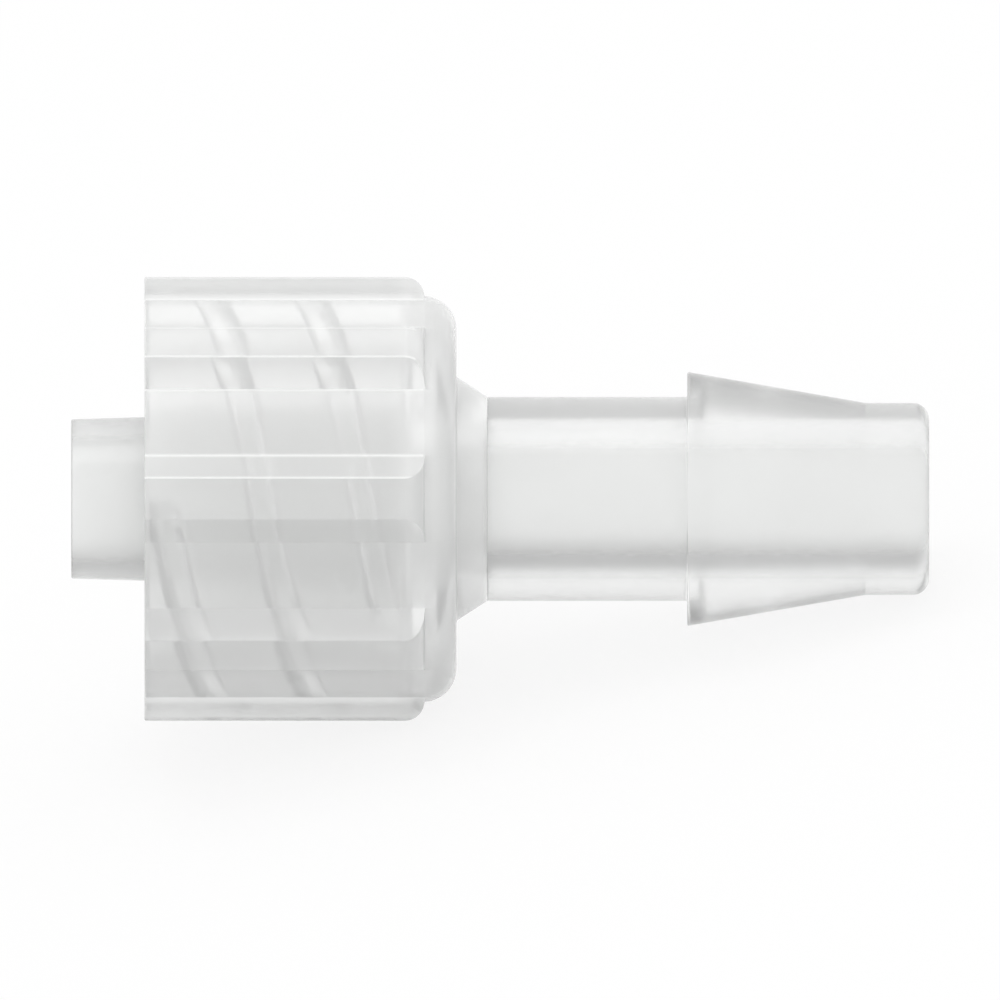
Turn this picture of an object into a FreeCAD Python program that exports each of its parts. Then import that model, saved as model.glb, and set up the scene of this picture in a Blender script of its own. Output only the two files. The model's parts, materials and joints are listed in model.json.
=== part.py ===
import FreeCAD, Part
import math
import os

from FreeCAD import Vector

# Male luer lock hose barb, moulded in one piece from natural polypropylene.
# Lengths are in millimetres and angles in degrees. It is drawn along the X axis, with the
# origin at the centre of the nozzle's mouth and the barb towards +X. Then it is tilted about
# that origin until it lies on a flat surface, with +Z up: its centre of mass is behind the
# grip ribs, so it rests on the ends of two neighbouring ribs and the tip of the barb. Angles
# about the flow axis are counted from +Z towards -Y, the side that is looked at.

# Luer nozzle, with its taper on the diameter
NOZZLE_TIP_DIAMETER = 3.98
NOZZLE_TAPER = 0.06
NOZZLE_PROJECTION = 1.83
NOZZLE_EDGE_RADIUS = 0.05
NOZZLE_ROOT_BEVEL = 0.25

# Lock collar round the nozzle
COLLAR_RADIUS = 5.08
COLLAR_DEPTH = 6.7
COLLAR_FLOOR_THICKNESS = 1.1
COLLAR_BACK_RADIUS = 0.85
COLLAR_FLOOR_BEVEL = 0.2
COLLAR_MOUTH_BEVEL = 0.12

# Lock thread inside the collar, where a start is the middle of a ridge's first end
THREAD_STARTS = 2
THREAD_LEAD = 5.0
THREAD_TURNS = 1.15
THREAD_ROOT_RADIUS = 4.0
THREAD_HEIGHT = 0.5
THREAD_ROOT_WIDTH = 0.85
THREAD_CREST_WIDTH = 0.35
THREAD_INSET = 0.45
THREAD_START_ANGLE = 67.5
THREAD_RAMP_ANGLE = 9.0

# Grip ribs on the collar
RIB_COUNT = 8
RIB_LENGTH = 7.0
RIB_HEIGHT = 0.47
RIB_CROWN_WIDTH = 1.04
RIB_ROOT_WIDTH = 2.18
RIB_END_RADIUS = 0.5
RIB_EDGE_RADIUS = 0.07

# Hose shank behind the collar, with the cone that it grows out of
CONE_ROOT_RADIUS = 3.05
CONE_LENGTH = 0.77
SHANK_RADIUS = 2.55
SHANK_LENGTH = 5.0

# Barb at the end of the shank
BARB_RADIUS = 3.175
BARB_LENGTH = 4.45
BARB_TIP_RADIUS = 2.40
BARB_LAND_LENGTH = 1.6
BARB_EDGE_RADIUS = 0.42

# Flow passage, wider in the nozzle, with a short taper inside the collar's floor
NOZZLE_BORE_RADIUS = 1.55
BARB_BORE_RADIUS = 1.35
BORE_TAPER_LENGTH = 0.4

# How far a solid reaches into the one that it joins, or past the one that it cuts
OVERLAP = 0.2

# How closely facets follow the part when its resting pose is worked out
REST_TOLERANCE = 0.05

# Stations along the flow axis
COLLAR_FACE_X = NOZZLE_PROJECTION
COLLAR_FLOOR_X = COLLAR_FACE_X + COLLAR_DEPTH
COLLAR_BACK_X = COLLAR_FLOOR_X + COLLAR_FLOOR_THICKNESS
SHANK_X = COLLAR_BACK_X + CONE_LENGTH
BARB_X = SHANK_X + SHANK_LENGTH
BARB_LAND_X = BARB_X + BARB_LENGTH
END_X = BARB_LAND_X + BARB_LAND_LENGTH

FLOW_AXIS = Vector(1.0, 0.0, 0.0)
ON_AXIS = Vector(0.0, 0.0, 0.0)
RIB_SPACING = 360.0 / RIB_COUNT


def at(x, radius):
    """A point of the half section above the flow axis."""
    return Vector(x, 0.0, radius)


def unit(vector):
    return vector / vector.Length


def corner_arc(before, corner, after, radius):
    """The arc that rounds a corner."""
    to_before = unit(before - corner)
    to_after = unit(after - corner)
    half_turn = to_before.getAngle(to_after) / 2.0
    run = radius / math.tan(half_turn)
    bisector = unit(to_before + to_after)
    to_middle = radius / math.sin(half_turn) - radius
    return Part.Arc(corner + to_before * run, corner + bisector * to_middle, corner + to_after * run)


def outline_face(corners):
    """A face inside (point, radius) corners, each rounded by its radius, or sharp at 0."""
    pieces = []
    for index, (corner, radius) in enumerate(corners):
        before = corners[index - 1][0]
        after = corners[(index + 1) % len(corners)][0]
        if radius > 0.0:
            arc = corner_arc(before, corner, after, radius)
            pieces.append((arc.StartPoint, arc.EndPoint, arc.toShape()))
        else:
            pieces.append((corner, corner, None))
    edges = []
    for index, (start, end, arc) in enumerate(pieces):
        next_start = pieces[(index + 1) % len(pieces)][0]
        if arc is not None:
            edges.append(arc)
        edges.append(Part.LineSegment(end, next_start).toShape())
    return Part.Face(Part.Wire(edges))


def revolved(corners):
    """A half section turned about the flow axis."""
    return outline_face(corners).revolve(ON_AXIS, FLOW_AXIS, 360.0)


def round_axis(x, angle, radius):
    """A point beside the flow axis, at an angle from +Z towards -Y."""
    return Vector(x, -radius * math.sin(math.radians(angle)), radius * math.cos(math.radians(angle)))


def turned_about_axis(shape, angle):
    """A copy turned about the flow axis, from +Z towards -Y."""
    copy = shape.copy()
    copy.rotate(ON_AXIS, FLOW_AXIS, angle)
    return copy


def nozzle_radius(x):
    return (NOZZLE_TIP_DIAMETER + NOZZLE_TAPER * x) / 2.0


def turned_body():
    """Nozzle, collar, cone, shank and barb as one turned section, before the passage."""
    root_x = COLLAR_FLOOR_X - NOZZLE_ROOT_BEVEL
    floor_wall_x = COLLAR_FLOOR_X - COLLAR_FLOOR_BEVEL
    mouth_x = COLLAR_FACE_X + COLLAR_MOUTH_BEVEL
    section = [
        (at(0.0, 0.0), 0.0),
        (at(0.0, nozzle_radius(0.0)), NOZZLE_EDGE_RADIUS),
        (at(root_x, nozzle_radius(root_x)), 0.0),
        (at(COLLAR_FLOOR_X, nozzle_radius(COLLAR_FLOOR_X) + NOZZLE_ROOT_BEVEL), 0.0),
        (at(COLLAR_FLOOR_X, THREAD_ROOT_RADIUS - COLLAR_FLOOR_BEVEL), 0.0),
        (at(floor_wall_x, THREAD_ROOT_RADIUS), 0.0),
        (at(mouth_x, THREAD_ROOT_RADIUS), 0.0),
        (at(COLLAR_FACE_X, THREAD_ROOT_RADIUS + COLLAR_MOUTH_BEVEL), 0.0),
        (at(COLLAR_FACE_X, COLLAR_RADIUS), 0.0),
        (at(COLLAR_BACK_X, COLLAR_RADIUS), COLLAR_BACK_RADIUS),
        (at(COLLAR_BACK_X, CONE_ROOT_RADIUS), 0.0),
        (at(SHANK_X, SHANK_RADIUS), 0.0),
        (at(BARB_X, SHANK_RADIUS), 0.0),
        (at(BARB_X, BARB_RADIUS), 0.0),
        (at(BARB_LAND_X, BARB_TIP_RADIUS), 0.0),
        (at(END_X, BARB_TIP_RADIUS), BARB_EDGE_RADIUS),
        (at(END_X, 0.0), 0.0),
    ]
    return revolved(section)


def flow_passage():
    """The round passage from the nozzle's mouth to the barb's end."""
    section = [
        (at(-OVERLAP, 0.0), 0.0),
        (at(-OVERLAP, NOZZLE_BORE_RADIUS), 0.0),
        (at(COLLAR_FLOOR_X, NOZZLE_BORE_RADIUS), 0.0),
        (at(COLLAR_FLOOR_X + BORE_TAPER_LENGTH, BARB_BORE_RADIUS), 0.0),
        (at(END_X + OVERLAP, BARB_BORE_RADIUS), 0.0),
        (at(END_X + OVERLAP, 0.0), 0.0),
    ]
    return revolved(section)


def grip_rib():
    """One rib on top of the collar: a trapezium in section, rounded down at its back end."""
    crown_z = COLLAR_RADIUS + RIB_HEIGHT
    crown_y = RIB_CROWN_WIDTH / 2.0
    root_y = RIB_ROOT_WIDTH / 2.0
    root_z = math.sqrt(COLLAR_RADIUS**2 - root_y**2)
    flank_run = (root_y - crown_y) / (crown_z - root_z)
    foot_z = root_z - OVERLAP
    foot_y = root_y + flank_run * OVERLAP
    section = [
        (Vector(COLLAR_FACE_X, -foot_y, foot_z), 0.0),
        (Vector(COLLAR_FACE_X, -crown_y, crown_z), 0.0),
        (Vector(COLLAR_FACE_X, crown_y, crown_z), 0.0),
        (Vector(COLLAR_FACE_X, foot_y, foot_z), 0.0),
    ]
    bar = outline_face(section).extrude(FLOW_AXIS * RIB_LENGTH)
    end_x = COLLAR_FACE_X + RIB_LENGTH
    profile = [
        (Vector(COLLAR_FACE_X - OVERLAP, -foot_y, 0.0), 0.0),
        (Vector(COLLAR_FACE_X - OVERLAP, -foot_y, crown_z), 0.0),
        (Vector(end_x, -foot_y, crown_z), RIB_END_RADIUS),
        (Vector(end_x, -foot_y, 0.0), 0.0),
    ]
    envelope = outline_face(profile).extrude(Vector(0.0, 2.0 * foot_y, 0.0))
    rib = bar.common(envelope)
    crown_edges = [edge for edge in rib.Edges if is_crown_edge(edge, crown_y, crown_z)]
    return rib.makeFillet(RIB_EDGE_RADIUS, crown_edges).Solids[0]


def is_crown_edge(edge, crown_y, crown_z):
    """Whether an edge runs between a rib's crown and one of its flanks."""
    middle = edge.CenterOfMass
    beside = abs(abs(middle.y) - crown_y) < 1e-4
    return beside and abs(middle.z - crown_z) < 1e-4


def thread_ramp(end_angle, ramp_angle):
    """What is cut off a ridge's end, so that it slopes down to the root over a ramp's angle."""
    end_x = THREAD_LEAD * end_angle / 360.0
    half_width = THREAD_LEAD / THREAD_STARTS / 2.0
    crest_radius = THREAD_ROOT_RADIUS - THREAD_HEIGHT
    root = round_axis(end_x - half_width, end_angle, THREAD_ROOT_RADIUS)
    crest = round_axis(end_x - half_width, end_angle + ramp_angle, crest_radius)
    free = round_axis(end_x - half_width, end_angle - ramp_angle / 2.0, crest_radius - OVERLAP)
    slope = unit(root - crest) * OVERLAP
    section = Part.Face(Part.makePolygon([root + slope, crest - slope, free, root + slope]))
    return section.extrude(FLOW_AXIS * half_width * 2.0)


def thread_ridge():
    """One ridge of the lock thread, which starts on top of the flow axis."""
    crest_radius = THREAD_ROOT_RADIUS - THREAD_HEIGHT
    flank_run = (THREAD_ROOT_WIDTH - THREAD_CREST_WIDTH) / 2.0 / THREAD_HEIGHT
    foot_radius = THREAD_ROOT_RADIUS + OVERLAP
    foot = THREAD_ROOT_WIDTH / 2.0 + flank_run * OVERLAP
    crest = THREAD_CREST_WIDTH / 2.0
    helix = Part.makeHelix(THREAD_LEAD, THREAD_LEAD * THREAD_TURNS, THREAD_ROOT_RADIUS)
    corners = [
        Vector(foot_radius, 0.0, -foot),
        Vector(crest_radius, 0.0, -crest),
        Vector(crest_radius, 0.0, crest),
        Vector(foot_radius, 0.0, foot),
    ]
    profile = Part.makePolygon(corners + corners[:1])
    ridge = helix.makePipeShell([profile], True, True)
    ridge.rotate(ON_AXIS, Vector(0.0, 1.0, 0.0), 90.0)
    ridge.rotate(ON_AXIS, FLOW_AXIS, 180.0)
    ramps = [
        thread_ramp(0.0, THREAD_RAMP_ANGLE),
        thread_ramp(360.0 * THREAD_TURNS, -THREAD_RAMP_ANGLE),
    ]
    ridge = ridge.cut(ramps)
    ridge.translate(FLOW_AXIS * (COLLAR_FACE_X + THREAD_INSET))
    return ridge


def fitting():
    """The whole fitting as one solid, along the X axis."""
    rib = grip_rib()
    ribs = [turned_about_axis(rib, RIB_SPACING * (index + 0.5)) for index in range(RIB_COUNT)]
    ridge = thread_ridge()
    start_spacing = 360.0 / THREAD_STARTS
    starts = [THREAD_START_ANGLE + start_spacing * index for index in range(THREAD_STARTS)]
    ridges = [turned_about_axis(ridge, start) for start in starts]
    body = turned_body().cut(flow_passage()).fuse(ribs).removeSplitter()
    for ridge in ridges:
        body = body.fuse(ridge)
    return body.Solids[0]


def lower_hull(points):
    """The (x, z) points that a straight edge pushed up from below can touch."""
    hull = []
    for x, z in sorted(points):
        while len(hull) > 1 and turn(hull[-2], hull[-1], (x, z)) <= 0.0:
            hull.pop()
        hull.append((x, z))
    return hull


def turn(first, second, third):
    """Positive where three (x, z) points turn to the left."""
    run = second[0] - first[0]
    rise = second[1] - first[1]
    return run * (third[1] - first[1]) - rise * (third[0] - first[0])


def resting_dip(solid):
    """How far the flow axis dips towards +X when the solid lies on a flat surface."""
    points = {(point.x, point.z) for point in solid.tessellate(REST_TOLERANCE)[0]}
    hull = lower_hull(points)
    centre = solid.CenterOfMass
    poses = []
    for start, end in zip(hull, hull[1:]):
        run = end[0] - start[0]
        rise = end[1] - start[1]
        length = math.hypot(run, rise)
        along = ((centre.x - start[0]) * run + (centre.z - start[1]) * rise) / length
        height = turn(start, end, (centre.x, centre.z)) / length
        if 0.0 <= along <= length:
            poses.append((height, math.degrees(math.atan2(rise, run))))
    return min(poses)[1]


os.makedirs("parts", exist_ok=True)
part = fitting()
part.rotate(ON_AXIS, Vector(0.0, 1.0, 0.0), resting_dip(part))
part.exportStep("parts/luer_barb_fitting.step")
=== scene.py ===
import json
import math

import bpy
import numpy as np
from mathutils import Matrix, Vector


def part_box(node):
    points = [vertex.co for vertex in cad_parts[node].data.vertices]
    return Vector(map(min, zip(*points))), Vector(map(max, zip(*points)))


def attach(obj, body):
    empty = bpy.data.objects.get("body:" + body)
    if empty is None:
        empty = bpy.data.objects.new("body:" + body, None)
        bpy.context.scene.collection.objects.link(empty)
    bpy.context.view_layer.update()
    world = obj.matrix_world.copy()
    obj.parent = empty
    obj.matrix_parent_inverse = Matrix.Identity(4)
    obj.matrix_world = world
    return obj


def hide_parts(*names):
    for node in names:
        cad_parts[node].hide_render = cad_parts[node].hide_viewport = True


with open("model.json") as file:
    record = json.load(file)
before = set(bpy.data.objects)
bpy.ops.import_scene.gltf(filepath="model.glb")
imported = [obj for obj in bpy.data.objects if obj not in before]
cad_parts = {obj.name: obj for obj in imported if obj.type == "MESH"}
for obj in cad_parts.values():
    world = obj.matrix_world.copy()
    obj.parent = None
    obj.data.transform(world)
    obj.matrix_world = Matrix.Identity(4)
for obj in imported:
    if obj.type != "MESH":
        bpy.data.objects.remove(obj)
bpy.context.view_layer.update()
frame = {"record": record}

# The fitting's sizes in millimetres, along its flow axis from the nozzle's mouth. Angles round
# that axis are in degrees, from the top towards the side that the camera sees.
MILLIMETRE = 0.001
NODE = "luer_barb_fitting"

NOZZLE_TIP_RADIUS = 1.99
NOZZLE_TAPER = 0.03
NOZZLE_EDGE_RADIUS = 0.05
NOZZLE_ROOT_RADIUS = 0.43

COLLAR_FACE_X = 1.83
COLLAR_FLOOR_X = 8.53
COLLAR_BACK_X = 9.63
COLLAR_RADIUS = 5.08
COLLAR_BACK_RADIUS = 0.85
CAVITY_RADIUS = 4.0
CAVITY_FLOOR_RADIUS = 0.34
CAVITY_MOUTH_BEVEL = 0.12

THREAD_STARTS = 2
THREAD_LEAD = 5.0
THREAD_TURNS = 1.15
THREAD_HEIGHT = 0.5
THREAD_ROOT_WIDTH = 0.85
THREAD_CREST_WIDTH = 0.35
THREAD_START_X = COLLAR_FACE_X + 0.45
THREAD_START_ANGLE = 67.5
THREAD_RAMP_ANGLE = 9.0
THREAD_CREST_ROUNDING = 0.06
THREAD_ROOT_ROUNDING = 0.1

RIB_COUNT = 8
RIB_LENGTH = 7.0
RIB_CROWN = 5.55
RIB_CROWN_WIDTH = 1.04
RIB_ROOT_WIDTH = 2.18
RIB_END_RADIUS = 0.5
RIB_EDGE_RADIUS = 0.07
RIB_FOOT_RADIUS = 0.08

CONE_ROOT_RADIUS = 3.05
SHANK_X = 10.40
SHANK_RADIUS = 2.55
BARB_X = 15.40
BARB_RADIUS = 3.175
BARB_LAND_X = 19.85
BARB_TIP_RADIUS = 2.40
BARB_EDGE_RADIUS = 0.42
END_X = 21.45
PASSAGE_TAPER_LENGTH = 0.4

# How much a moulded edge or inner corner is rounded where nothing else is said
EDGE_RADIUS = 0.04
CORNER_RADIUS = 0.08

# A rounding's largest turn between two facets, in degrees, and its fewest points. A corner that
# turns less than half of it, in radians, stays sharp.
ARC_STEP = 12.0
FEWEST_ARC_POINTS = 4
SHARP_BELOW = 1e-4

# The points of a rib's upper edge and foot, which are the same for a low crown as for a high one
RIB_EDGE_POINTS = 5
RIB_FOOT_POINTS = 3

# The rings round the collar's front edge, the ribs' ends and the shoulder behind them
FACE_EDGE_RINGS = 4
RIB_END_RINGS = 9
SHOULDER_RINGS = 10

# The turns of the helix that the cavity's rows cover, before and after the thread's start
TURNS_BEFORE = 2
TURNS_AFTER = 3

# A rib's line keeps at least this height, and runs out this far past the rib's end
LOWEST_RIB = 0.001
RIB_RUN_OUT = 0.02

# Points of the collar's outline between a rib's foot and the middle of the valley, as shares
VALLEY_SHARES = (0.35, 0.6, 0.8, 1.0)

# What the photograph's frame shows: its width, its centre along the flow axis and above it, and
# the angle round that axis that it is seen from, with the camera's distance in metres
PHOTO_WIDTH = 25.0
PHOTO_CENTRE_X = 10.7175
PHOTO_CENTRE_UP = -0.0275
VIEW_ANGLE = 67.5
CAMERA_DISTANCE = 0.3

# The plastic: its colour, its gloss, and the share of light that goes on through it unscattered:
# less in the collar's wall, and least where the moulding is thick. The cavity and the passage
# are duller.
PLASTIC_COLOR = (0.965, 0.97, 0.965)
COLOR_SPREAD = 0.012
ROUGHNESS = 0.19
CAVITY_ROUGHNESS = 0.33
PASSAGE_ROUGHNESS = 0.34
ROUGHNESS_SPREAD = 0.03
REFRACTION = 1.49
THIN_CLEARNESS = 0.78
COLLAR_CLEARNESS = 0.47
THICK_CLEARNESS = 0.4

# The clouds in its colour, the grain of its surface, and the values that noise mostly stays between
CLOUD_SIZE = 2.5
CLOUD_DETAIL = 3.0
GRAIN_SIZE = 0.3
GRAIN_DETAIL = 4.0
GRAIN_DEPTH = 0.003
NOISE_LOW = 0.3
NOISE_HIGH = 0.7

# Its zones: the moulding gets thick before the cavity's floor and thin again round the shank's
# start. The collar lies outside a radius, the cavity's surface counts to just past its wall's
# radius, and the passage lies within a radius. Each zone ends softly, over a blend.
THICK_BEFORE_FLOOR = 0.7
THIN_BEFORE_SHANK = 0.15
THIN_AFTER_SHANK = 0.05
COLLAR_FROM = 2.5
CAVITY_REACH = 0.1
PASSAGE_TO = 1.58
WIDE_BLEND = 0.1
BLEND = 0.05
FINE_BLEND = 0.02

# The thread's flanks, known by how far they lean along the axis, and their feet let less light
# out of the plastic. The feet also get painted shade, a darker colour for the shade in the ridges'
# inner corners, and end before the cavity's floor.
FLANK_FROM = 0.3
FLANK_TO = 0.7
FLANK_SHADE = 0.4
FLANK_BLEND = 0.06
FOOT_SHADE = 0.85
PAINTED_FOOT_SHADE = 0.35
FOOT_HEIGHT = 0.3
FOOT_BEFORE_FLOOR = 0.5

# The ribs' upper crown edge and upper feet get painted highlights: thin white lines painted into
# the colour, which also make the plastic there less clear. They are painted where the surface
# looks up enough, towards the light, and fainter where it looks almost straight up.
EDGE_WIDTH = 0.07
EDGE_DEPTH = 0.12
PAINTED_GLINT_LIGHT = 0.75
FOOT_REACH = 0.1
UP_FROM = 0.45
UP_TO = 0.65
TOP_FROM = 0.88
TOP_TO = 0.94
TOP_SHARE = 0.3

# The floor: its size in metres, its colour where it is seen, how much light it sends back up, and
# the share of it that shows plain white where it is seen or mirrored
FLOOR_SIZE = 0.6
FLOOR_COLOR = 0.93
FLOOR_BOUNCE = 0.6
FLOOR_GLOW = 0.85

# The room: its light on the part, how dark it is straight below where it is looked at through
# the plastic, and between which heights of a direction it gets as bright as the rest. The
# softbox's size and height are in metres.
AMBIENT = 0.95
BELOW = 0.48
BELOW_FROM = -0.84
BELOW_TO = -0.66
SOFTBOX_SIZE = 0.1
SOFTBOX_HEIGHT = 0.2
SOFTBOX_POWER = 0.055


def mount(name):
    """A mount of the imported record, as its place, its axis and its sizes."""
    found = [m for m in frame["record"]["mounts"] if m["name"] == name][0]
    return Vector(found["pos_m"]), Vector(found["axis"]).normalized(), found["dims"]


MOUTH, OUT_OF_NOZZLE, NOZZLE_BORE = mount("nozzle_bore")
BARB_BORE = mount("barb_bore")[2]
FLOW = -OUT_OF_NOZZLE
SIDE = Vector((0.0, 1.0, 0.0))
ABOVE = FLOW.cross(SIDE)
FLOOR_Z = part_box(NODE)[0].z


def rounded(corners):
    """Points along a line through (across, up, radius) corners, each with its rounding."""
    points = [np.array(corners[0][:2])]
    for before, corner, after in zip(corners, corners[1:], corners[2:]):
        points.extend(corner_points(before, corner, after, corner[2]))
    points.append(np.array(corners[-1][:2]))
    return points


def corner_points(before, corner, after, radius, count=None):
    """The arc that rounds one corner: a given number of points, or turns of ARC_STEP at most."""
    before, corner, after = [np.array(point[:2]) for point in (before, corner, after)]
    back = (before - corner) / np.linalg.norm(before - corner)
    ahead = (after - corner) / np.linalg.norm(after - corner)
    half_turn = math.pi / 2.0 - math.acos(np.clip(back @ ahead, -1.0, 1.0)) / 2.0
    if radius == 0.0 or half_turn < SHARP_BELOW:
        return [corner]
    if count is None:
        steps = math.ceil(math.degrees(2.0 * half_turn) / ARC_STEP)
        count = max(FEWEST_ARC_POINTS, steps + 1)
    bisector = (back + ahead) / np.linalg.norm(back + ahead)
    across = (ahead - back) / np.linalg.norm(ahead - back)
    centre = corner + bisector * radius / math.cos(half_turn)
    turns = np.linspace(-half_turn, half_turn, count)
    outward = [across * math.sin(turn) - bisector * math.cos(turn) for turn in turns]
    return [centre + radius * direction for direction in outward]


def nozzle_radius(x):
    return NOZZLE_TIP_RADIUS + NOZZLE_TAPER * x


def rib_outline(drop, inset, base):
    """The collar's outline from one rib's middle to the next one's, as (angle, radius) points,
    with the crowns lowered by a drop, and all pulled in by an inset."""
    crown_y = RIB_CROWN_WIDTH / 2.0
    root_y = RIB_ROOT_WIDTH / 2.0
    root_z = math.sqrt(COLLAR_RADIUS**2 - root_y**2)
    flank_run = (root_y - crown_y) / (RIB_CROWN - root_z)
    drop = min(drop, RIB_CROWN - root_z - LOWEST_RIB)
    top_y = crown_y + flank_run * drop
    top_z = RIB_CROWN - drop
    rounding = min(1.0, (top_z - root_z) / (2.0 * RIB_EDGE_RADIUS))
    root_angle = math.asin(root_y / COLLAR_RADIUS)
    valley_angle = math.pi / RIB_COUNT
    beside = [root_angle + (valley_angle - root_angle) * share for share in VALLEY_SHARES]
    first = (COLLAR_RADIUS * math.sin(beside[0]), COLLAR_RADIUS * math.cos(beside[0]), 0.0)
    corners = [
        (0.0, top_z, 0.0),
        (top_y, top_z, RIB_EDGE_RADIUS * rounding),
        (root_y, root_z, RIB_FOOT_RADIUS * rounding),
        first,
    ]
    line = fixed_count(corners)
    half = [(math.atan2(y, z), math.hypot(y, z)) for y, z in line]
    half += [(angle, COLLAR_RADIUS) for angle in beside[1:]]
    half = [(angle, max(radius - COLLAR_RADIUS + base, base) - inset) for angle, radius in half]
    step = 2.0 * math.pi / RIB_COUNT
    return half + [(step - angle, radius) for angle, radius in reversed(half[1:-1])]


def fixed_count(corners):
    """Points of a rib's line, as many for a low crown as for a high one."""
    start, top, root, end = corners
    middle = np.array([top[0] / 2.0, top[1]])
    edge = corner_points(start, top, root, top[2], RIB_EDGE_POINTS)
    foot = corner_points(top, root, end, root[2], RIB_FOOT_POINTS)
    return [np.array(start[:2]), middle] + edge + foot + [np.array(end[:2])]


COLUMNS = RIB_COUNT * len(rib_outline(0.0, 0.0, COLLAR_RADIUS))


class Shell:
    """A closed surface round the flow axis, laid ring by ring."""

    def __init__(self):
        self.points = []
        self.faces = []

    def add(self, x, angle, radius):
        self.points.append((x, -radius * math.sin(angle), radius * math.cos(angle)))
        return len(self.points) - 1

    def ring(self, x, angles, radii):
        return [self.add(x, angle, radius) for angle, radius in zip(angles, radii)]

    def bridge(self, first, second):
        for column in range(COLUMNS):
            ahead = (column + 1) % COLUMNS
            self.face([first[column], first[ahead], second[ahead], second[column]])

    def face(self, corners):
        """A face through the corners that differ, if three are left."""
        kept = [corner for index, corner in enumerate(corners) if corner != corners[index - 1]]
        if len(kept) > 2:
            self.faces.append(kept)


EVEN_ANGLES = [math.pi / RIB_COUNT + 2.0 * math.pi * column / COLUMNS for column in range(COLUMNS)]


def round_rings(shell, points):
    return [shell.ring(x, EVEN_ANGLES, [radius] * COLUMNS) for x, radius in points]


def ribbed_ring(shell, x, drop, inset, base):
    outline = rib_outline(drop, inset, base)
    step = 2.0 * math.pi / RIB_COUNT
    angles = [angle + step * (rib + 0.5) for rib in range(RIB_COUNT) for angle, _ in outline]
    return shell.ring(x, angles, [radius for _ in range(RIB_COUNT) for _, radius in outline])


def collar_rings(shell):
    """The collar's outside with its ribs, from the open face to the back face."""
    rings = []
    for turn in np.radians(np.linspace(0.0, 90.0, FACE_EDGE_RINGS)):
        x = COLLAR_FACE_X + EDGE_RADIUS * (1.0 - math.sin(turn))
        inset = EDGE_RADIUS * (1.0 - math.cos(turn))
        rings.append(ribbed_ring(shell, x, 0.0, inset, COLLAR_RADIUS))
    rings.reverse()
    shoulder_x = COLLAR_BACK_X - COLLAR_BACK_RADIUS
    shoulder_centre = COLLAR_RADIUS - COLLAR_BACK_RADIUS
    end_x = COLLAR_FACE_X + RIB_LENGTH

    def base(x):
        past = max(0.0, x - shoulder_x)
        return shoulder_centre + math.sqrt(COLLAR_BACK_RADIUS**2 - past**2)

    for turn in np.radians(np.linspace(0.0, 90.0, RIB_END_RINGS)):
        x = end_x - RIB_END_RADIUS * (1.0 - math.sin(turn))
        rings.append(ribbed_ring(shell, x, RIB_END_RADIUS * (1.0 - math.cos(turn)), 0.0, base(x)))
    plain_x = end_x + RIB_RUN_OUT
    rings.append(ribbed_ring(shell, plain_x, RIB_CROWN, 0.0, base(plain_x)))
    first_turn = math.asin((plain_x - shoulder_x) / COLLAR_BACK_RADIUS)
    for turn in np.linspace(first_turn, math.pi / 2.0, SHOULDER_RINGS)[1:]:
        x = shoulder_x + COLLAR_BACK_RADIUS * math.sin(turn)
        radius = shoulder_centre + COLLAR_BACK_RADIUS * math.cos(turn)
        rings.append(ribbed_ring(shell, x, RIB_CROWN, 0.0, radius))
    return rings


def thread_height(profile_height, turned):
    """The height of a ridge that has turned so far, in degrees. Each end slopes down on a ramp."""
    left = 360.0 * THREAD_TURNS - turned
    share = min(1.0, max(0.0, min(turned, left) / THREAD_RAMP_ANGLE))
    return min(profile_height, THREAD_HEIGHT * share)


def thread_profile():
    """(offset, height) stations across one ridge and the root on both sides of it."""
    pitch = THREAD_LEAD / THREAD_STARTS
    corners = [
        (-pitch / 2.0, 0.0, 0.0),
        (-THREAD_ROOT_WIDTH / 2.0, 0.0, THREAD_ROOT_ROUNDING),
        (-THREAD_CREST_WIDTH / 2.0, THREAD_HEIGHT, THREAD_CREST_ROUNDING),
        (THREAD_CREST_WIDTH / 2.0, THREAD_HEIGHT, THREAD_CREST_ROUNDING),
        (THREAD_ROOT_WIDTH / 2.0, 0.0, THREAD_ROOT_ROUNDING),
        (pitch / 2.0, 0.0, 0.0),
    ]
    return [tuple(point) for point in rounded(corners)][:-1]


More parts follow.
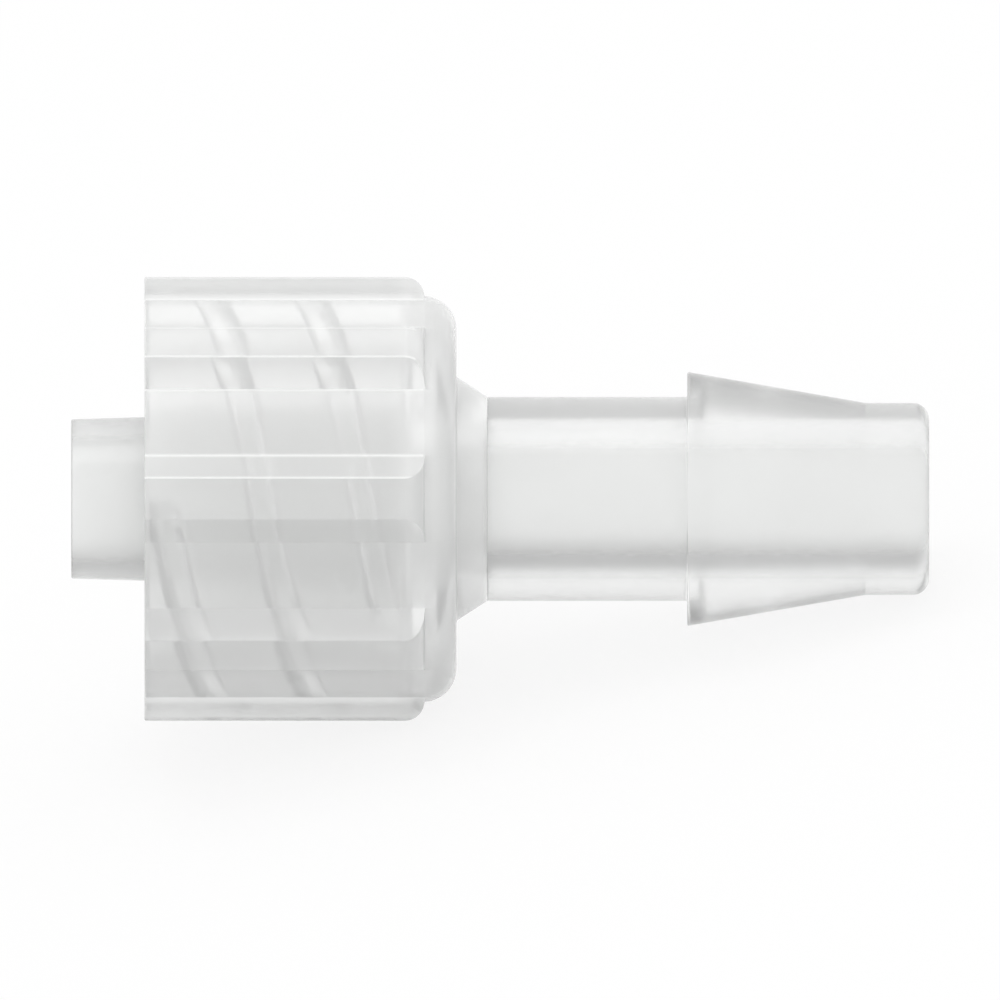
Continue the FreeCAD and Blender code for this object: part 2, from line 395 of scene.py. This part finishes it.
def threaded_wall(shell, floor_x, mouth_x):
    """The cavity's wall with its ridges. Its rows follow the helix, and stop at a ring at the
    cavity's floor and at its mouth."""
    profile = thread_profile()
    pitch = THREAD_LEAD / THREAD_STARTS
    rows_per_turn = len(profile) * THREAD_STARTS
    start = math.radians(THREAD_START_ANGLE)
    grid = {}

    def ring_vertex(column, x):
        key = (column, x)
        if key not in grid:
            grid[key] = shell.add(x, EVEN_ANGLES[column], wall_radius(column, x))
        return grid[key]

    def ridge_middle(column, copy):
        turns = (EVEN_ANGLES[column] - start) / (2.0 * math.pi)
        return THREAD_START_X + THREAD_LEAD * turns + pitch * copy

    def ridge_radius(height, middle):
        turned = 360.0 * (middle - THREAD_START_X) / THREAD_LEAD
        return CAVITY_RADIUS - thread_height(height, turned)

    def wall_radius(column, x):
        copy = round((x - ridge_middle(column, 0)) / pitch)
        middle = ridge_middle(column, copy)
        offsets, heights = zip(*profile)
        return ridge_radius(np.interp(x - middle, offsets, heights), middle)

    def vertex(column, row):
        if column == COLUMNS:
            return vertex(0, row + rows_per_turn)
        copy, station = divmod(row, len(profile))
        offset, height = profile[station]
        middle = ridge_middle(column, copy)
        x = middle + offset
        if x >= floor_x or x <= mouth_x:
            return ring_vertex(column, floor_x if x >= floor_x else mouth_x)
        if (column, row) not in grid:
            grid[column, row] = shell.add(x, EVEN_ANGLES[column], ridge_radius(height, middle))
        return grid[column, row]

    for column in range(COLUMNS):
        for row in range(-TURNS_BEFORE * rows_per_turn, TURNS_AFTER * rows_per_turn):
            shell.face([
                vertex(column, row + 1),
                vertex(column + 1, row + 1),
                vertex(column + 1, row),
                vertex(column, row),
            ])
    floor_ring = [ring_vertex(column, floor_x) for column in range(COLUMNS)]
    mouth_ring = [ring_vertex(column, mouth_x) for column in range(COLUMNS)]
    return floor_ring, mouth_ring


def nozzle_line():
    """From the nozzle's mouth over its outside to the cavity's floor and up to its wall."""
    bore = NOZZLE_BORE["r_mm"]
    line = rounded([
        (COLLAR_FACE_X, bore, 0.0),
        (0.0, bore, EDGE_RADIUS),
        (0.0, nozzle_radius(0.0), NOZZLE_EDGE_RADIUS),
        (COLLAR_FLOOR_X, nozzle_radius(COLLAR_FLOOR_X), NOZZLE_ROOT_RADIUS),
        (COLLAR_FLOOR_X, CAVITY_RADIUS, CAVITY_FLOOR_RADIUS),
        (COLLAR_FACE_X, CAVITY_RADIUS, 0.0),
    ])
    return line[1:-1]


def mouth_line():
    """The bevel between the cavity's wall and the collar's open face."""
    line = rounded([
        (COLLAR_FLOOR_X, CAVITY_RADIUS, 0.0),
        (COLLAR_FACE_X + CAVITY_MOUTH_BEVEL, CAVITY_RADIUS, EDGE_RADIUS),
        (COLLAR_FACE_X, CAVITY_RADIUS + CAVITY_MOUTH_BEVEL, EDGE_RADIUS),
        (COLLAR_FACE_X, COLLAR_RADIUS, 0.0),
    ])
    return line[1:-1]


def hose_line():
    """From the collar's back face along the cone, shank and barb, and back through the passage."""
    bore = BARB_BORE["r_mm"]
    narrow = NOZZLE_BORE["r_mm"]
    line = rounded([
        (COLLAR_BACK_X, COLLAR_RADIUS - COLLAR_BACK_RADIUS, 0.0),
        (COLLAR_BACK_X, CONE_ROOT_RADIUS, CORNER_RADIUS),
        (SHANK_X, SHANK_RADIUS, CORNER_RADIUS),
        (BARB_X, SHANK_RADIUS, EDGE_RADIUS),
        (BARB_X, BARB_RADIUS, EDGE_RADIUS),
        (BARB_LAND_X, BARB_TIP_RADIUS, CORNER_RADIUS),
        (END_X, BARB_TIP_RADIUS, BARB_EDGE_RADIUS),
        (END_X, bore, EDGE_RADIUS),
        (COLLAR_FLOOR_X + PASSAGE_TAPER_LENGTH, bore, CORNER_RADIUS),
        (COLLAR_FLOOR_X, narrow, CORNER_RADIUS),
        (0.0, narrow, 0.0),
    ])
    return line[1:-1]


def moulding():
    """The whole fitting as one closed mesh, at its place in the frame."""
    shell = Shell()
    nozzle = round_rings(shell, nozzle_line()[:-1])
    floor_x = nozzle_line()[-1][0]
    mouth_points = mouth_line()
    floor_ring, mouth_ring = threaded_wall(shell, floor_x, mouth_points[0][0])
    mouth = round_rings(shell, mouth_points[1:])
    collar = collar_rings(shell)
    hose = round_rings(shell, hose_line())
    for rings in (nozzle + [floor_ring], [mouth_ring] + mouth + collar + hose + nozzle[:1]):
        for first, second in zip(rings, rings[1:]):
            shell.bridge(first, second)
    placed = Matrix.Translation(MOUTH) @ Matrix((FLOW, SIDE, ABOVE)).transposed().to_4x4()
    points = [placed @ (Vector(point) * MILLIMETRE) for point in shell.points]
    mesh = bpy.data.meshes.new(NODE + "_moulding")
    mesh.from_pydata(points, [], shell.faces)
    mesh.validate()
    mesh.shade_smooth()
    mesh.normals_split_custom_set_from_vertices(area_normals(mesh))
    piece = bpy.data.objects.new(NODE + "_moulding", mesh)
    bpy.context.scene.collection.objects.link(piece)
    return piece


def area_normals(mesh):
    """Each vertex's normal as the mean of its faces' normals, weighted by their areas."""
    normals = np.zeros((len(mesh.vertices), 3))
    for face in mesh.polygons:
        weighted = np.array(face.normal) * face.area
        for vertex in face.vertices:
            normals[vertex] += weighted
    lengths = np.linalg.norm(normals, axis=1, keepdims=True)
    return (normals / np.maximum(lengths, 1e-20)).tolist()


class Nodes:
    """A node tree, with short ways to add its nodes."""

    def __init__(self, tree):
        self.tree = tree

    def add(self, kind, settings=(), inputs=()):
        """A node with its settings, and with its inputs set to a value or linked to a socket."""
        node = self.tree.nodes.new(kind)
        for name, value in dict(settings).items():
            setattr(node, name, value)
        for name, value in dict(inputs).items():
            self.feed(node.inputs[name], value)
        return node

    def feed(self, socket, value):
        if isinstance(value, bpy.types.NodeSocket):
            self.tree.links.new(value, socket)
        else:
            socket.default_value = value

    def math(self, operation, *values):
        return self.add("ShaderNodeMath", {"operation": operation}, enumerate(values)).outputs[0]

    def product(self, first, *others):
        """The product of two values or more."""
        for other in others:
            first = self.math("MULTIPLY", first, other)
        return first

    def vector(self, operation, *values):
        return self.add("ShaderNodeVectorMath", {"operation": operation}, enumerate(values))

    def millimetres(self, operation, *values):
        """The length that a vector operation gives, in millimetres."""
        return self.math("DIVIDE", self.vector(operation, *values).outputs["Value"], MILLIMETRE)

    def ramp(self, value, from_min, from_max, to_min, to_max, kind="SMOOTHSTEP"):
        inputs = {
            "Value": value,
            "From Min": from_min,
            "From Max": from_max,
            "To Min": to_min,
            "To Max": to_max,
        }
        node = self.add("ShaderNodeMapRange", {"interpolation_type": kind}, inputs)
        return node.outputs["Result"]

    def up_to(self, value, edge, blend):
        """1 up to an edge, and 0 from a blend past it."""
        return self.ramp(value, edge, edge + blend, 1.0, 0.0)

    def past(self, value, edge, blend):
        """0 up to an edge, and 1 from a blend past it."""
        return self.ramp(value, edge, edge + blend, 0.0, 1.0)

    def scaled(self, color, share):
        node = self.vector("SCALE", color)
        self.feed(node.inputs["Scale"], share)
        return node.outputs["Vector"]

    def mix(self, share, first, second):
        """From a first value to a second one, by a share."""
        inputs = {"Factor": share, "A": first, "B": second}
        return self.add("ShaderNodeMix", {"data_type": "FLOAT"}, inputs).outputs["Result"]

    def noise(self, place, size, detail):
        """Noise from 0 to 1 whose clumps are about as large as a size in millimetres."""
        inputs = {"Vector": place, "Scale": 1.0 / (size * MILLIMETRE), "Detail": detail}
        return self.add("ShaderNodeTexNoise", {}, inputs).outputs["Fac"]


def painted_rib_glints(nodes, along, aside, above, radius, normal):
    """Painted highlights: near 1 along the upper edge of each rib's crown and along its upper foot.
    """
    half_step = math.pi / RIB_COUNT
    angle = nodes.math("ADD", nodes.math("ARCTAN2", aside, above), half_step)
    off_middle = nodes.math("PINGPONG", angle, half_step)
    from_middle = nodes.product(radius, nodes.math("SINE", off_middle))
    crown_edge = math.hypot(RIB_CROWN, RIB_CROWN_WIDTH / 2.0)
    crown = nodes.product(
        near(nodes, from_middle, RIB_CROWN_WIDTH / 2.0),
        nodes.ramp(radius, crown_edge - EDGE_DEPTH, crown_edge - BLEND, 0.0, 1.0),
    )
    foot = nodes.product(
        near(nodes, from_middle, RIB_ROOT_WIDTH / 2.0),
        nodes.up_to(radius, COLLAR_RADIUS + FOOT_REACH, BLEND),
    )
    on_ribs = nodes.product(
        nodes.past(radius, COLLAR_RADIUS - FOOT_REACH, BLEND),
        nodes.up_to(along, COLLAR_FACE_X + RIB_LENGTH - BLEND, BLEND),
    )
    # The painted highlight shows where the surface faces up enough towards the light, and fainter
    # where it faces straight up.
    facing = nodes.add("ShaderNodeSeparateXYZ", {}, {"Vector": normal}).outputs["Z"]
    facing_up = nodes.product(
        nodes.ramp(facing, UP_FROM, UP_TO, 0.0, 1.0),
        nodes.ramp(facing, TOP_FROM, TOP_TO, 1.0, TOP_SHARE),
    )
    return nodes.product(nodes.math("MAXIMUM", crown, foot), on_ribs, facing_up, PAINTED_GLINT_LIGHT)


def near(nodes, value, middle):
    """1 where a value is at a middle, down to 0 at an edge's width from it."""
    off = nodes.math("ABSOLUTE", nodes.math("SUBTRACT", value, middle))
    return nodes.ramp(off, 0.0, EDGE_WIDTH, 1.0, 0.0)


def thread_flanks(nodes, along, radius, normal):
    """1 on the flanks of the thread's ridges, and 1 on the part of them next to their feet."""
    steepness = nodes.math("ABSOLUTE", nodes.vector("DOT_PRODUCT", normal, FLOW).outputs["Value"])
    crest_radius = CAVITY_RADIUS - THREAD_HEIGHT
    foot_radius = CAVITY_RADIUS - FOOT_HEIGHT
    flank = nodes.product(
        nodes.ramp(steepness, FLANK_FROM, FLANK_TO, 0.0, 1.0),
        nodes.past(radius, crest_radius, FLANK_BLEND),
        nodes.up_to(radius, CAVITY_RADIUS, FINE_BLEND),
    )
    foot = nodes.product(
        flank,
        nodes.up_to(along, COLLAR_FLOOR_X - FOOT_BEFORE_FLOOR, WIDE_BLEND),
        nodes.past(radius, foot_radius, FLANK_BLEND),
    )
    return flank, foot


def natural_polypropylene():
    """Milky, half clear moulded polypropylene, with painted highlights and painted shade."""
    material = bpy.data.materials.new("natural_polypropylene")
    material.use_nodes = True
    nodes = Nodes(material.node_tree)
    shader = material.node_tree.nodes["Principled BSDF"]
    shader.inputs["IOR"].default_value = REFRACTION
    surface = nodes.add("ShaderNodeNewGeometry").outputs
    place = nodes.add("ShaderNodeTexCoord").outputs["Object"]
    from_mouth = nodes.vector("SUBTRACT", place, MOUTH).outputs["Vector"]
    along = nodes.millimetres("DOT_PRODUCT", from_mouth, FLOW)
    aside = nodes.millimetres("DOT_PRODUCT", from_mouth, SIDE)
    above = nodes.millimetres("DOT_PRODUCT", from_mouth, ABOVE)
    squares = nodes.math("ADD", nodes.math("POWER", aside, 2.0), nodes.math("POWER", above, 2.0))
    radius = nodes.math("SQRT", squares)
    cloud = nodes.noise(place, CLOUD_SIZE, CLOUD_DETAIL)
    grain = nodes.noise(place, GRAIN_SIZE, GRAIN_DETAIL)

    thick = nodes.product(
        nodes.past(along, COLLAR_FLOOR_X - THICK_BEFORE_FLOOR, THICK_BEFORE_FLOOR),
        nodes.ramp(along, SHANK_X - THIN_BEFORE_SHANK, SHANK_X + THIN_AFTER_SHANK, 1.0, 0.0),
    )
    collar = nodes.product(
        nodes.past(radius, COLLAR_FROM, WIDE_BLEND),
        nodes.ramp(along, COLLAR_FLOOR_X, COLLAR_BACK_X, 1.0, 0.0),
    )
    cavity = nodes.product(collar, nodes.up_to(radius, CAVITY_RADIUS + CAVITY_REACH, BLEND))
    passage = nodes.up_to(radius, PASSAGE_TO, FINE_BLEND)
    flank, foot = thread_flanks(nodes, along, radius, surface["Normal"])
    painted_glints = painted_rib_glints(nodes, along, aside, above, radius, surface["Normal"])

    low, high = 1.0 - COLOR_SPREAD, 1.0 + COLOR_SPREAD
    # The colour: random clouds, darkened by painted shade on the thread's feet, where their inner
    # corners would lie in shade.
    shade = nodes.product(
        nodes.ramp(cloud, NOISE_LOW, NOISE_HIGH, low, high, "LINEAR"),
        nodes.ramp(foot, 0.0, 1.0, 1.0, 1.0 - PAINTED_FOOT_SHADE, "LINEAR"),
    )
    tint = nodes.scaled(PLASTIC_COLOR, shade)
    # Painted highlight: white lines along the ribs' upper edges, laid over the colour.
    white = nodes.scaled((1.0, 1.0, 1.0), painted_glints)
    color = nodes.vector("MAXIMUM", tint, white).outputs["Vector"]
    nodes.feed(shader.inputs["Base Color"], color)

    low, high = -ROUGHNESS_SPREAD, ROUGHNESS_SPREAD
    uneven = nodes.ramp(grain, NOISE_LOW, NOISE_HIGH, low, high, "LINEAR")
    roughness = nodes.ramp(cavity, 0.0, 1.0, ROUGHNESS, CAVITY_ROUGHNESS, "LINEAR")
    roughness = nodes.math("MAXIMUM", roughness, nodes.product(passage, PASSAGE_ROUGHNESS))
    nodes.feed(shader.inputs["Roughness"], nodes.math("ADD", roughness, uneven))

    clear = nodes.ramp(collar, 0.0, 1.0, THIN_CLEARNESS, COLLAR_CLEARNESS, "LINEAR")
    clear = nodes.mix(thick, clear, THICK_CLEARNESS)
    # The painted highlight's lines are also made less clear, so that their white shows.
    clear = nodes.product(clear, nodes.math("SUBTRACT", 1.0, painted_glints))
    leaving = surface["Backfacing"]
    flank_shade, foot_shade = nodes.product(flank, FLANK_SHADE), nodes.product(foot, FOOT_SHADE)
    shaded = nodes.product(nodes.math("MAXIMUM", flank_shade, foot_shade), leaving)
    let_out = nodes.math("SUBTRACT", 1.0, shaded)
    clear = nodes.product(nodes.math("MAXIMUM", clear, leaving), let_out)
    nodes.feed(shader.inputs["Transmission Weight"], clear)

    bump = nodes.add("ShaderNodeBump", {}, {"Height": grain, "Distance": GRAIN_DEPTH * MILLIMETRE})
    nodes.feed(shader.inputs["Normal"], bump.outputs["Normal"])
    return material


def background_rays(nodes):
    """1 for rays that show the background: to the camera, mirrored or through the plastic."""
    path = nodes.add("ShaderNodeLightPath").outputs
    seen = nodes.math("MAXIMUM", path["Is Camera Ray"], path["Is Glossy Ray"])
    return nodes.math("MAXIMUM", seen, path["Is Transmission Ray"])


def pale_floor():
    """A pale floor that shows white and keeps a soft shadow."""
    material = bpy.data.materials.new("pale_floor")
    material.use_nodes = True
    material.node_tree.nodes.clear()
    nodes = Nodes(material.node_tree)
    seen = background_rays(nodes)
    color = nodes.ramp(seen, 0.0, 1.0, FLOOR_BOUNCE, FLOOR_COLOR, "LINEAR")
    matt = nodes.add("ShaderNodeBsdfDiffuse", {}, {"Color": color})
    white = nodes.add("ShaderNodeEmission", {}, {"Color": (1.0, 1.0, 1.0, 1.0)})
    share = nodes.product(seen, FLOOR_GLOW)
    mix = nodes.add("ShaderNodeMixShader", {}, {0: share, 1: matt.outputs[0], 2: white.outputs[0]})
    nodes.add("ShaderNodeOutputMaterial", {}, {"Surface": mix.outputs[0]})
    return material


def floor():
    half = FLOOR_SIZE / 2.0
    mesh = bpy.data.meshes.new("floor")
    sides = ((-half, -half), (half, -half), (half, half), (-half, half))
    mesh.from_pydata([(x, y, FLOOR_Z) for x, y in sides], [], [(0, 1, 2, 3)])
    plane = bpy.data.objects.new("floor", mesh)
    bpy.context.scene.collection.objects.link(plane)
    mesh.materials.append(pale_floor())
    plane.visible_transmission = False


def studio_light():
    """An even pale room, and a softbox right above."""
    world = bpy.data.worlds.new("studio")
    bpy.context.scene.world = world
    world.use_nodes = True
    nodes = Nodes(world.node_tree)
    background = world.node_tree.nodes["Background"]
    background.inputs["Color"].default_value = (1.0, 1.0, 1.0, 1.0)
    direction = nodes.add("ShaderNodeTexCoord").outputs["Generated"]
    height = nodes.add("ShaderNodeSeparateXYZ", {}, {"Vector": direction}).outputs["Z"]
    below = nodes.ramp(height, BELOW_FROM, BELOW_TO, BELOW, 1.0)
    strength = nodes.mix(background_rays(nodes), AMBIENT, below)
    nodes.feed(background.inputs["Strength"], strength)
    lamp = bpy.data.lights.new("softbox", "AREA")
    lamp.shape = "SQUARE"
    lamp.size = SOFTBOX_SIZE
    lamp.energy = SOFTBOX_POWER
    softbox = bpy.data.objects.new("softbox", lamp)
    middle = MOUTH + FLOW * PHOTO_CENTRE_X * MILLIMETRE
    softbox.location = middle + Vector((0.0, 0.0, SOFTBOX_HEIGHT))
    bpy.context.scene.collection.objects.link(softbox)


def camera():
    """The photograph's view: square on the flow axis, from where one rib faces the camera."""
    angle = math.radians(VIEW_ANGLE)
    back = ABOVE * math.cos(angle) - SIDE * math.sin(angle)
    up = back.cross(FLOW)
    centre = MOUTH + (FLOW * PHOTO_CENTRE_X + up * PHOTO_CENTRE_UP) * MILLIMETRE
    place = Matrix.Translation(centre + back * CAMERA_DISTANCE)
    data = bpy.data.cameras.new("camera")
    data.type = "ORTHO"
    data.ortho_scale = PHOTO_WIDTH * MILLIMETRE
    placed = bpy.data.objects.new("camera", data)
    placed.matrix_world = place @ Matrix((FLOW, up, back)).transposed().to_4x4()
    bpy.context.scene.collection.objects.link(placed)
    bpy.context.scene.camera = placed


piece = moulding()
piece.data.materials.append(natural_polypropylene())
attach(piece, "root")
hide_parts(NODE)
floor()
studio_light()
camera()
bpy.context.scene.view_settings.view_transform = "Standard"
